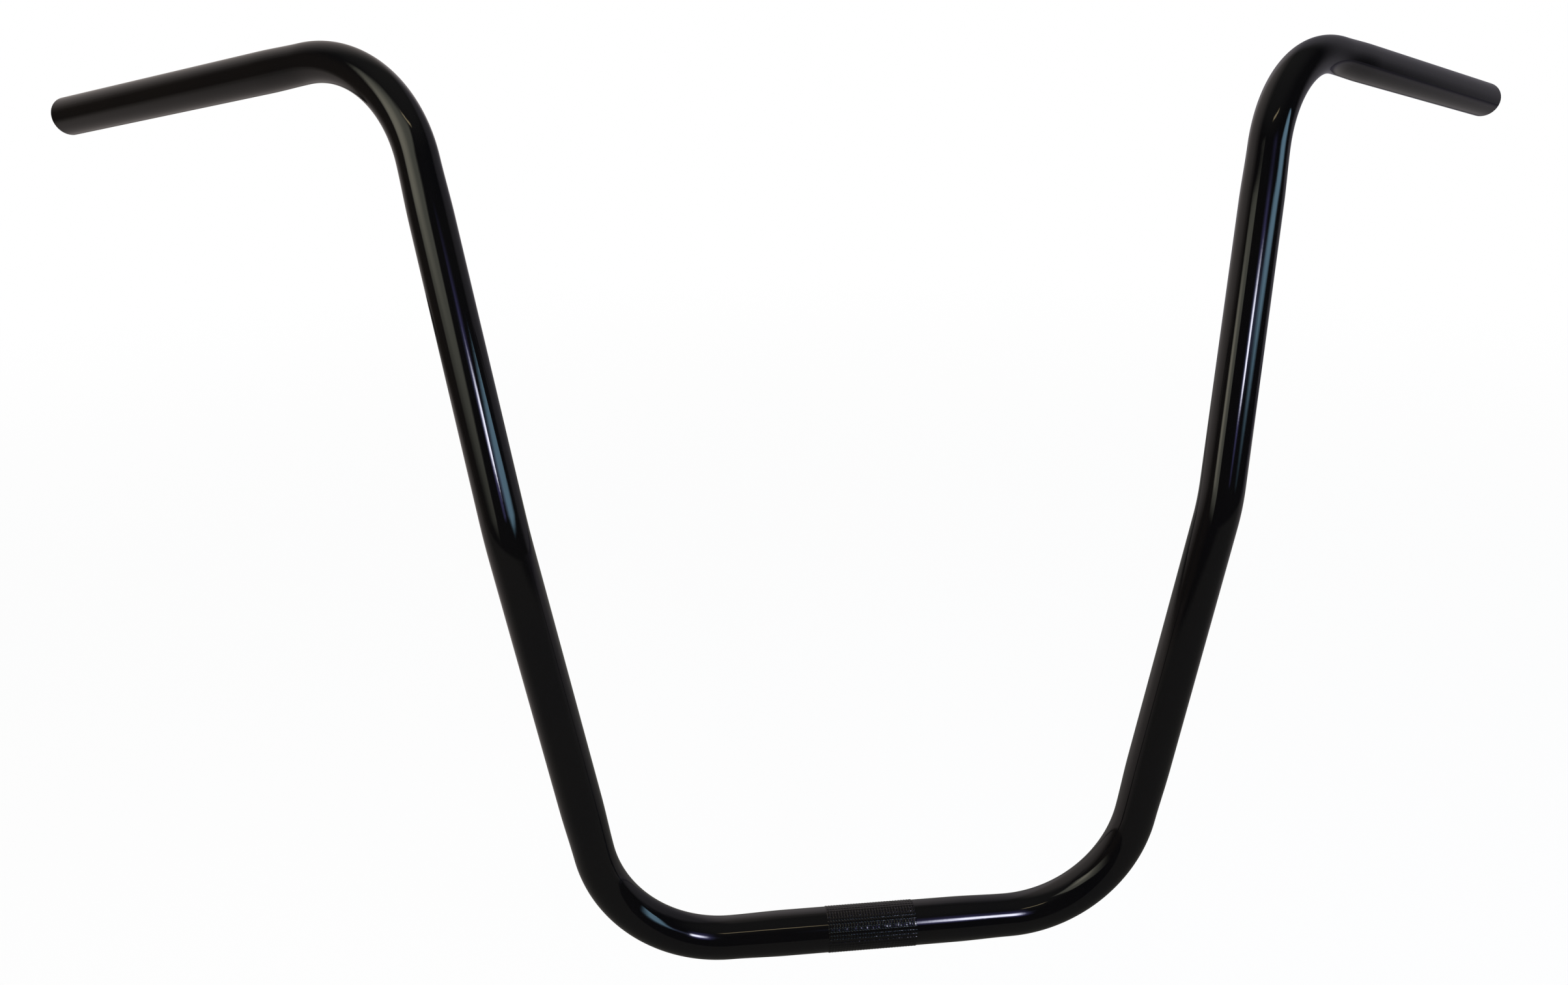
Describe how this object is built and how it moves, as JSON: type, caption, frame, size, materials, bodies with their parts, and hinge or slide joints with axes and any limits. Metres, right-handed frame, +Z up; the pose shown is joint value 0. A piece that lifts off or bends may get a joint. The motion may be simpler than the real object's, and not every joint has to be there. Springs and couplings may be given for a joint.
{
  "type": "motorcycle handlebar",
  "caption": "Tall U-shaped handlebar bent from one steel tube in gloss black, with a knurled clamp band at the bottom and long swept-back grip ends.",
  "frame": {"origin": "middle of the clamp run, on the axis of the tube", "axes": "+X along the clamp run, +Z up towards the grips, +Y back to the rider, the way the grips sweep"},
  "size_m": [0.9048, 0.2196, 0.4815],
  "materials": {
    "gloss_black_paint": "gloss black powder coat, with a soft orange peel"
  },
  "bodies": {
    "root": {"handlebar": "gloss_black_paint"}
  },
  "joints": []
}
